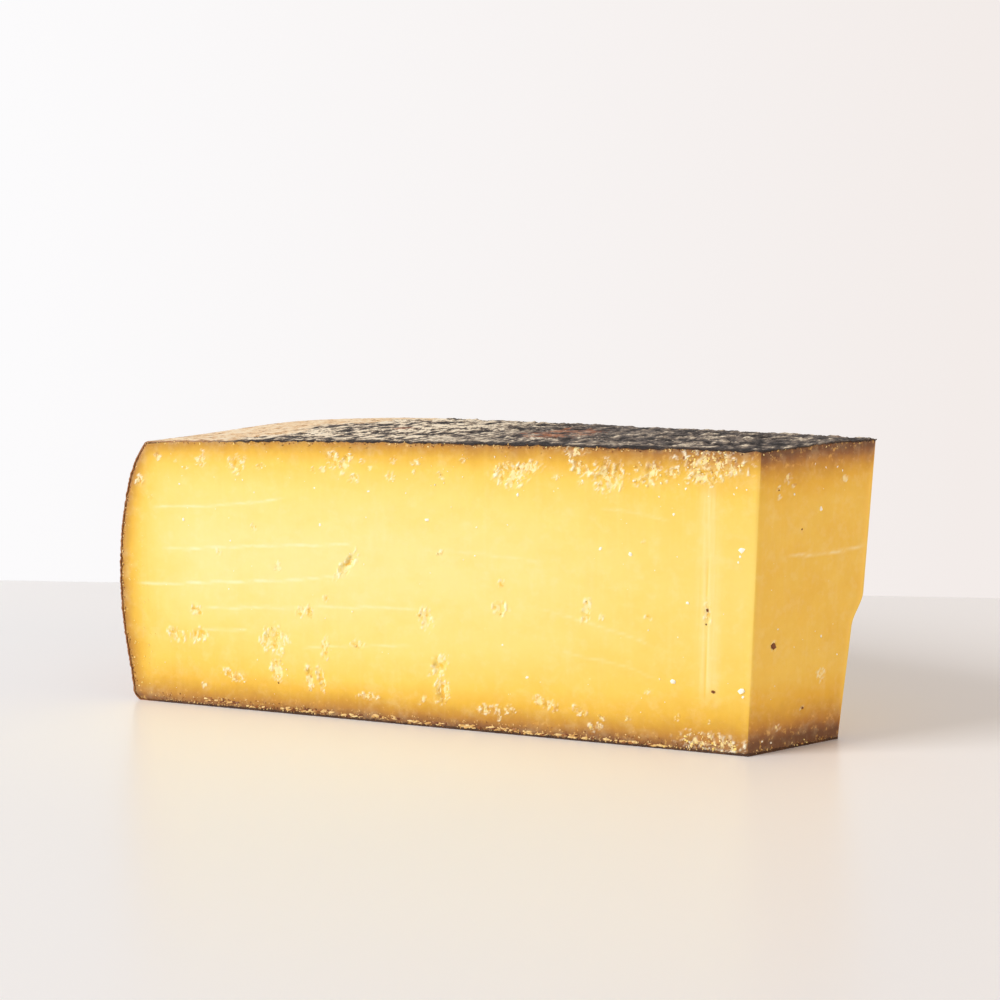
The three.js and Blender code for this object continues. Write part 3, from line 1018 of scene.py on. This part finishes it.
def make_crystals():
    """White crystals, and dark brown spots that paint the shade inside small eyes: the chosen ones,
    and small crystals at random over each cut, more of them near the top."""
    chance = np.random.default_rng(301)
    batches = list(chosen_spots(CRYSTALS, 1.0, 0.5, 302))
    for side, length, count in ((FRONT, 224, 170), (NOSE, 44, 26), (BACK, 225, 120)):
        size = 0.18 + 0.32 * chance.random(count) ** 2
        height = np.where(chance.random(count) < 0.45, chance.uniform(84, 96, count),
                          chance.uniform(5, 90, count))
        across = chance.uniform(5, length - 1, count)
        batches.append((side, np.stack([across, height, size, 0.8 * size, 0.5 * size,
                                        chance.uniform(0, 3, count), chance.uniform(0.84, 1, count),
                                        0 * size], 1)))
    batches += list(chosen_spots(EYE_SHADE_SPOTS, 0.04, 0.22, 303))
    return make_lumps("crystals", batches, 304)


# ---------------------------------------------------------------- finishes

class Finish:
    """A procedural finish: one Principled surface, and short names for the nodes that feed it."""

    def __init__(self, name):
        self.material = bpy.data.materials.new(name)
        self.material.use_nodes = True
        self.tree = self.material.node_tree
        self.surface = self.tree.nodes["Principled BSDF"]
        self.place = self.node("ShaderNodeTexCoord").outputs["Object"]

    def node(self, kind, **inputs):
        """A node of this kind with some of its inputs set or linked."""
        made = self.tree.nodes.new(kind)
        for socket, value in inputs.items():
            self.feed(made.inputs[socket], value)
        return made

    def feed(self, socket, value):
        """Links another node's output to a socket, or sets the socket's own value."""
        if isinstance(value, bpy.types.NodeSocket):
            self.tree.links.new(value, socket)
        else:
            socket.default_value = value

    def set(self, **inputs):
        """Sets or links inputs of the surface, named with _ for a space."""
        for socket, value in inputs.items():
            self.feed(self.surface.inputs[socket.replace("_", " ")], value)

    def field(self, name):
        """A number that the mesh keeps on its points."""
        made = self.node("ShaderNodeAttribute")
        made.attribute_name = name
        return made.outputs["Fac"]

    def worked(self, operation, first, second):
        """One sum of two numbers."""
        made = self.tree.nodes.new("ShaderNodeMath")
        made.operation = operation
        self.feed(made.inputs[0], first)
        self.feed(made.inputs[1], second)
        return made.outputs[0]

    def plus(self, first, second):
        return self.worked("ADD", first, second)

    def minus(self, first, second):
        return self.worked("SUBTRACT", first, second)

    def times(self, first, second):
        return self.worked("MULTIPLY", first, second)

    def over(self, first, second):
        return self.worked("DIVIDE", first, second)

    def larger(self, first, second):
        return self.worked("MAXIMUM", first, second)

    def span(self, value, low, high, to_low=0.0, to_high=1.0):
        """A smooth change from to_low to to_high as the value goes from low to high."""
        made = self.tree.nodes.new("ShaderNodeMapRange")
        made.interpolation_type = "SMOOTHSTEP"
        for number, given in enumerate((value, low, high, to_low, to_high)):
            self.feed(made.inputs[number], given)
        return made.outputs[0]

    def noise(self, per_metre, detail=3.0, roughness=0.55, scale=(1, 1, 1)):
        """Noise in the piece's own space, this fine, drawn out along an axis whose scale is small."""
        place = self.node("ShaderNodeMapping", Vector=self.place, Scale=scale).outputs["Vector"]
        made = self.node("ShaderNodeTexNoise", Vector=place, Scale=per_metre, Detail=detail,
                         Roughness=roughness)
        return made.outputs["Fac"]

    def swing(self, noise, size):
        """Noise as a number that swings about 0: its distance from a half, times a size."""
        return self.times(self.minus(noise, 0.5), size)

    def ramp(self, value, stops):
        """A colour ramp from pairs of a position and a colour."""
        made = self.node("ShaderNodeValToRGB", Fac=value)
        row = made.color_ramp.elements
        while len(row) < len(stops):
            row.new(0.5)
        for element, (position, colour) in zip(row, stops):
            element.position = position
            element.color = (*colour, 1)
        return made.outputs["Color"]

    def mix(self, share, first, second, blend="MIX"):
        """One colour laid over another by a share from 0 to 1."""
        made = self.tree.nodes.new("ShaderNodeMix")
        made.data_type = "RGBA"
        made.blend_type = blend
        made.clamp_factor = True
        self.feed(made.inputs[0], share)
        for socket, value in ((made.inputs[6], first), (made.inputs[7], second)):
            self.feed(socket, value if isinstance(value, bpy.types.NodeSocket) else (*value, 1))
        return made.outputs[2]

    def bump(self, height, distance, strength=1.0, under=None):
        """Small relief, distance in metres, on top of another bump if one is given."""
        made = self.node("ShaderNodeBump", Height=height, Distance=distance, Strength=strength)
        if under is not None:
            self.feed(made.inputs["Normal"], under)
        return made.outputs["Normal"]


def shade(red, green, blue):
    """A colour given as display values from 0 to 255, as the linear numbers a shader takes."""
    shares = (value / 255 for value in (red, green, blue))
    return tuple(share / 12.92 if share <= 0.04 else ((share + 0.055) / 1.055) ** 2.4
                 for share in shares)


# The ripeness, in millimetres in from the rind, that the paste's colours run over.
RIPE_SPAN = 44.0
RIPE_TONES = [(0, (112, 74, 46)), (1.6, (146, 98, 54)), (3.2, (188, 134, 56)), (5, (212, 160, 56)),
              (7, (233, 186, 66)), (10, (244, 206, 92)), (16, (243, 219, 124)), (26, (243, 226, 148)),
              (42, (243, 230, 170))]


def paste_finish():
    """Ripe paste: brown under the rind, then amber, then pale yellow inside, mottled, painted deeper
    gold as shade in its tears, pale on its flakes, partly their own tone and partly painted highlight,
    and pale on the seams between layers, with a slight waxy sheen. Light soaks in a little."""
    f = Finish("cheese paste")

    def inwards(low, high, to_low=0.0, to_high=1.0):
        """A change over ripeness in millimetres."""
        return f.span(ripe, low / RIPE_SPAN, high / RIPE_SPAN, to_low, to_high)

    drift = f.plus(f.swing(f.noise(90, 3), 2.6), f.swing(f.noise(420, 3), 1.2))
    ripe = f.over(f.plus(f.field("ripe"), drift), RIPE_SPAN)
    colour = f.ramp(ripe, [(at / RIPE_SPAN, shade(*tone)) for at, tone in RIPE_TONES])

    # mottling: specks near the rind, deeper patches, clouds and faint upright streaks
    speckle = f.times(f.span(f.noise(520, 3, 0.6), 0.56, 0.72), inwards(9, 2))
    colour = f.mix(f.times(speckle, 0.55), colour, shade(236, 190, 104))
    patches = f.span(f.noise(55, 4, 0.6, (1, 1, 1.6)), 0.4, 0.75)
    colour = f.mix(f.times(patches, 0.2), colour, shade(254, 232, 134), "MULTIPLY")
    cloudy = f.span(f.noise(240, 3, 0.6), 0.45, 0.8)
    colour = f.mix(f.times(cloudy, 0.16), colour, shade(252, 236, 186))
    streak = f.span(f.noise(420, 2, 0.5, (1, 1, 0.06)), 0.5, 0.75)
    colour = f.mix(f.times(streak, 0.04), colour, shade(252, 238, 190))

    # seams, the knife's drag and its scores, and a painted glow along the narrow edges, standing in
    # for light shining through them
    colour = f.mix(f.times(f.field("layer"), 0.62), colour, shade(254, 244, 206))
    colour = f.mix(f.times(f.field("drag"), 0.48), colour, shade(253, 240, 186))
    # the scores' darker gold is a painted shade in their grooves
    colour = f.mix(f.times(f.field("drag"), -0.7), colour, shade(224, 170, 68))
    # painted glow: the paste is lightened near its edges as if light shone through
    glow = f.times(f.field("painted_edge_light"), inwards(3, 9, 0.0, 0.6))
    colour = f.mix(glow, colour, shade(255, 214, 100))

    # tears: deeper gold in their depth, a painted shade; pale on their flakes and specks, partly the
    # crumbled paste's own paler tone and partly painted highlight
    gold = f.times(f.field("torn"), f.span(f.noise(460, 3), 0.44, 0.6, 0.1, 0.9))
    painted_recess_shade = f.mix(inwards(4, 11), shade(196, 138, 72), shade(240, 188, 50))
    colour = f.mix(gold, colour, painted_recess_shade)
    flakes = f.noise(560, 3, 0.55, (1, 1, 0.6))
    pale = f.times(f.field("flaky"), f.span(flakes, 0.42, 0.54, 0.3, 1.0))
    colour = f.mix(pale, colour, shade(255, 250, 222))
    inner = f.times(f.field("torn"), f.span(flakes, 0.5, 0.56, 0.0, 0.85))
    colour = f.mix(inner, colour, shade(254, 236, 172))

    f.set(Base_Color=colour, Roughness=f.span(f.noise(700, 2), 0.3, 0.7, 0.42, 0.6),
          Specular_IOR_Level=0.35, Subsurface_Weight=0.2, Subsurface_Scale=0.002,
          Subsurface_Radius=(1.0, 0.7, 0.35))
    grain = f.bump(f.noise(1500, 3, 0.6), 0.00008, 0.5)
    broken = f.times(f.larger(f.field("torn"), f.field("flaky")), flakes)
    f.set(Normal=f.bump(broken, 0.0008, 0.45, grain))
    return f.material


def rind_finish():
    """Natural rind: charcoal in its hollows, a painted shade, grey-brown on its slopes and beige on
    its ridges, partly dust and partly painted highlight, rusty in places, and cream and tan within a
    few centimetres of the rim. The heel is baked brown and the bottom is dark."""
    f = Finish("cheese rind")
    walk = f.field("walk")
    relief = f.field("relief")
    parts = f.node("ShaderNodeSeparateXYZ", Vector=f.place)
    fine = f.minus(f.noise(330, 4, 0.65), 0.5)

    def dusting(along, deep, long, wide):
        """1 at a place on the top rind and 0 past a ragged ring round it, in millimetres."""
        middle_x = (AXIS_X - NOSE_RADIUS - along) * MM
        middle_y = (FRONT_Y + deep) * MM
        across = f.times(f.minus(parts.outputs["X"], middle_x), 1 / (long * MM))
        inward = f.times(f.minus(parts.outputs["Y"], middle_y), 1 / (wide * MM))
        reach = f.plus(f.times(across, across), f.times(inward, inward))
        return f.span(f.plus(reach, f.times(fine, 5.0)), 1.3, 0.6)

    # how high a spot counts as: its relief, so that hollows are painted dark as shade and raised spots
    # light, partly as dust and partly as painted highlight, with streaks along the folds, more dust in
    # two places, and darker beside the front cut and towards the nose
    near_cut = f.span(parts.outputs["Y"], (FRONT_Y + 7) * MM, (FRONT_Y - 1) * MM)
    to_nose = f.span(parts.outputs["X"], -0.04, 0.03)
    crest_dust_and_shade = f.plus(relief, f.times(fine, 0.9))
    crest_dust_and_shade = f.plus(crest_dust_and_shade, f.swing(f.noise(300, 4, 0.65, (1, 0.3, 1)), 2.7))
    crest_dust_and_shade = f.plus(crest_dust_and_shade, f.swing(f.noise(42, 3, 0.5), 0.8))
    dusted = f.larger(dusting(60, 3, 6, 6), dusting(22, 9, 8, 8))
    crest_dust_and_shade = f.plus(crest_dust_and_shade, f.times(dusted, 0.4))
    crest_dust_and_shade = f.minus(crest_dust_and_shade, f.times(near_cut, 0.35))
    crest_dust_and_shade = f.minus(crest_dust_and_shade, f.times(to_nose, 0.18))

    # the top, duller towards the nose, with rusty patches
    bright = f.ramp(f.span(crest_dust_and_shade, -0.5, 0.46), [
        (0.0, shade(38, 34, 34)), (0.2, shade(78, 70, 66)), (0.4, shade(140, 126, 112)),
        (0.6, shade(206, 188, 162)), (0.8, shade(252, 238, 212))])
    dusky = f.ramp(f.span(crest_dust_and_shade, -0.62, 0.6), [
        (0.0, shade(46, 42, 42)), (0.24, shade(86, 79, 75)), (0.46, shade(122, 111, 102)),
        (0.68, shade(154, 140, 124)), (0.95, shade(226, 212, 188))])
    top = f.mix(to_nose, bright, dusky)
    rusty = f.times(dusting(80, 46, 13, 20), f.span(f.noise(150, 4, 0.65), 0.4, 0.6))
    rusty = f.larger(rusty, f.span(f.noise(31, 3, 0.5), 0.68, 0.76))
    top = f.mix(f.times(rusty, 0.42), top, shade(226, 146, 100))

    # the cream and tan ring at the rim, with a ragged border; its relief term paints raised spots
    # paler and hollows browner, as light and shade
    tan = f.ramp(f.plus(f.noise(230, 5, 0.7), f.times(relief, 0.25)), [
        (0.34, shade(140, 88, 50)), (0.42, shade(232, 190, 140)), (0.52, shade(252, 228, 190)),
        (0.7, shade(255, 242, 218))])
    ragged = f.plus(walk, f.swing(f.noise(40, 4), 50))
    colour = f.mix(f.span(ragged, -42, -34), top, tan)

    # the baked heel, a little paler on raised folds and browner in hollows by its relief term, a
    # painted light and shade
    baked = f.plus(f.noise(90, 6, 0.72, (1, 1, 2.4)), f.times(relief, 0.16))
    crust = f.ramp(baked, [
        (0.36, shade(112, 68, 40)), (0.5, shade(158, 106, 64)), (0.62, shade(190, 140, 92)),
        (0.82, shade(222, 182, 134))])
    pores = f.span(f.noise(620, 4, 0.7), 0.6, 0.38, 0.0, 0.45)
    crust = f.mix(pores, crust, shade(96, 58, 34))
    rim_way = f.plus(walk, f.swing(f.noise(110, 4, 0.6), 22))
    colour = f.mix(f.span(rim_way, -5, 7), colour, crust)

    # the bottom, and the rind's cut edges, darkened along the bottom edge as a painted shade
    under = f.ramp(f.noise(160, 4), [
        (0.35, shade(48, 34, 26)), (0.55, shade(96, 66, 42)), (0.7, shade(170, 122, 76))])
    colour = f.mix(f.span(walk, 101, 112), colour, under)
    cut_tone_and_bottom_shade = f.mix(f.span(walk, -40, -20), shade(58, 46, 40), shade(150, 96, 54))
    # painted shade: the bottom rind's cut edge is made darkest
    cut_tone_and_bottom_shade = f.mix(f.span(walk, 100, 110), cut_tone_and_bottom_shade, shade(74, 50, 36))
    colour = f.mix(f.times(f.field("edge"), 0.8), colour, cut_tone_and_bottom_shade)

    f.set(Base_Color=colour, Roughness=f.span(f.noise(300, 3), 0.3, 0.7, 0.6, 0.85),
          Specular_IOR_Level=0.3)
    grain = f.bump(f.noise(1000, 4, 0.65), 0.0004, 0.7)
    f.set(Normal=f.bump(f.noise(300, 3, 0.6), 0.0007, 0.6, grain))
    return f.material


def lump_finish():
    """Crumbs, crystals and the dark spots painted as shade in small eyes, by their own tint: brown at
    0, amber, gold, pale paste at 0.8 and white at 1."""
    f = Finish("crumb and crystal")
    colour = f.ramp(f.plus(f.field("tint"), f.swing(f.noise(900, 2), 0.12)), [
        (0.0, shade(104, 52, 20)), (0.18, shade(160, 104, 52)), (0.26, shade(218, 172, 100)),
        (0.38, shade(244, 214, 150)), (0.46, shade(238, 196, 96)), (0.65, shade(253, 226, 128)),
        (0.82, shade(255, 241, 184)), (1.0, shade(255, 252, 236))])
    f.set(Base_Color=colour, Roughness=0.5, Specular_IOR_Level=0.35)
    f.set(Normal=f.bump(f.noise(2200, 2), 0.00008, 0.5))
    return f.material


def plain_finish(name, colour, roughness):
    """One even colour."""
    f = Finish(name)
    f.set(Base_Color=(*colour, 1), Roughness=roughness, Specular_IOR_Level=0.3)
    return f.material


def dress(piece, material):
    """Gives a piece its finish."""
    piece.data.materials.append(material)


# ---------------------------------------------------------------- the studio

# The camera: focal length as a share of the sensor's width, its place in millimetres from the foot of
# the solid's nose corner, how far it turns towards the heel, and how far it dips.
LENS_RATIO = 1.7
EYE_FROM_CORNER = (122.2, -535.4, 141.7)
EYE_TURN = math.radians(21.24)
EYE_DIP = math.radians(6.04)

# The corners of the table top in millimetres, to the right of the camera and ahead of it.
TABLE_CORNERS = ((-2200, -1500), (2200, -1500), (2200, 640), (-2200, 1140))

# How bright the surroundings are overhead, where the wall is 1.
CEILING = 0.46


def make_camera():
    """Stands in front of the nose corner, turned towards the heel and dipped a little."""
    lens = bpy.data.cameras.new("studio camera")
    lens.sensor_width = 36
    lens.lens = 36 * LENS_RATIO
    camera = bpy.data.objects.new("studio camera", lens)
    bpy.context.scene.collection.objects.link(camera)
    corner = Vector((AXIS_X - CAD_NOSE_RADIUS, FRONT_Y, 0))
    camera.location = (corner + Vector(EYE_FROM_CORNER)) * MM
    camera.rotation_euler = (math.pi / 2 - EYE_DIP, 0, EYE_TURN)
    bpy.context.scene.camera = camera


def make_table():
    """A pale table top whose far edge lies behind the wedge, at a slight angle to the camera."""
    eye = Vector((AXIS_X - CAD_NOSE_RADIUS + EYE_FROM_CORNER[0], FRONT_Y + EYE_FROM_CORNER[1], 0))
    heading = Vector((-math.sin(EYE_TURN), math.cos(EYE_TURN), 0))
    right = Vector((math.cos(EYE_TURN), math.sin(EYE_TURN), 0))
    corners = [eye + right * across + heading * ahead for across, ahead in TABLE_CORNERS]
    mesh = bpy.data.meshes.new("table")
    mesh.from_pydata([tuple(c * MM) for c in corners], [], [(0, 1, 2, 3)])
    table = bpy.data.objects.new("table", mesh)
    bpy.context.scene.collection.objects.link(table)
    dress(table, plain_finish("pale table", shade(242, 242, 243), 0.3))


def make_light(name, place, aim, width, power, colour=(1, 1, 1)):
    """A square soft light at a place, facing another, in metres."""
    data = bpy.data.lights.new(name, "AREA")
    data.size = width
    data.energy = power
    data.color = colour
    light = bpy.data.objects.new(name, data)
    light.location = place
    light.rotation_euler = (Vector(aim) - Vector(place)).to_track_quat("-Z", "Y").to_euler()
    bpy.context.scene.collection.objects.link(light)
    return light


def make_surroundings():
    """Soft light from all round: a bright white wall as high as the eye, dimmer overhead, and a
    little warmer and darker on the right."""
    world = bpy.data.worlds.new("studio")
    world.use_nodes = True
    nodes = world.node_tree.nodes
    link = world.node_tree.links.new
    backdrop = nodes["Background"]
    way = nodes.new("ShaderNodeTexCoord").outputs["Generated"]
    parts = nodes.new("ShaderNodeSeparateXYZ")
    link(way, parts.inputs[0])
    overhead = nodes.new("ShaderNodeMapRange")
    overhead.interpolation_type = "SMOOTHSTEP"
    for socket, value in zip(list(overhead.inputs)[1:5], (0.22, 0.55, 1.0, CEILING)):
        socket.default_value = value
    link(parts.outputs["Z"], overhead.inputs[0])
    link(overhead.outputs[0], backdrop.inputs["Strength"])
    aside = nodes.new("ShaderNodeMapRange")
    for socket, value in zip(list(aside.inputs)[1:5], (-0.6, -0.1, 0.0, 1.0)):
        socket.default_value = value
    link(parts.outputs["X"], aside.inputs[0])
    tone = nodes.new("ShaderNodeMix")
    tone.data_type = "RGBA"
    tone.inputs[6].default_value = (*shade(252, 251, 252), 1)
    tone.inputs[7].default_value = (*shade(243, 236, 233), 1)
    link(aside.outputs[0], tone.inputs[0])
    link(tone.outputs[2], backdrop.inputs["Color"])
    bpy.context.scene.world = world
    bpy.context.scene.view_settings.view_transform = "Standard"


make_camera()
make_surroundings()
make_table()
make_light("window", (-2.1, -1.9, 1.75), (0, 0, 0.03), 1.3, 82, (1.0, 0.995, 0.985))
make_light("warm fill", (1.5, 0.05, 0.35), (0.1, 0, 0.04), 0.7, 5, (1.0, 0.55, 0.2))
back_fill = make_light("back fill", (0.7, 1.7, 0.8), (0, 0, 0.05), 0.9, 4, (1.0, 0.84, 0.62))
back_fill.visible_camera = False

paste = make_paste()
dress(paste, paste_finish())
rind_material = rind_finish()
top_rind = rind_slab("top_rind", top_walk, TOP_RIND, 370, 244, 101)
heel_rind = rind_slab("heel_rind", heel_walk, HEEL_RIND, 200, 280, 102)
bottom_rind = rind_slab("bottom_rind", bottom_walk, BOTTOM_RIND, 330, 90, 103)
for piece in (top_rind, heel_rind, bottom_rind):
    dress(piece, rind_material)
lump_material = lump_finish()
for piece in (make_crumbs(), make_crystals()):
    dress(piece, lump_material)
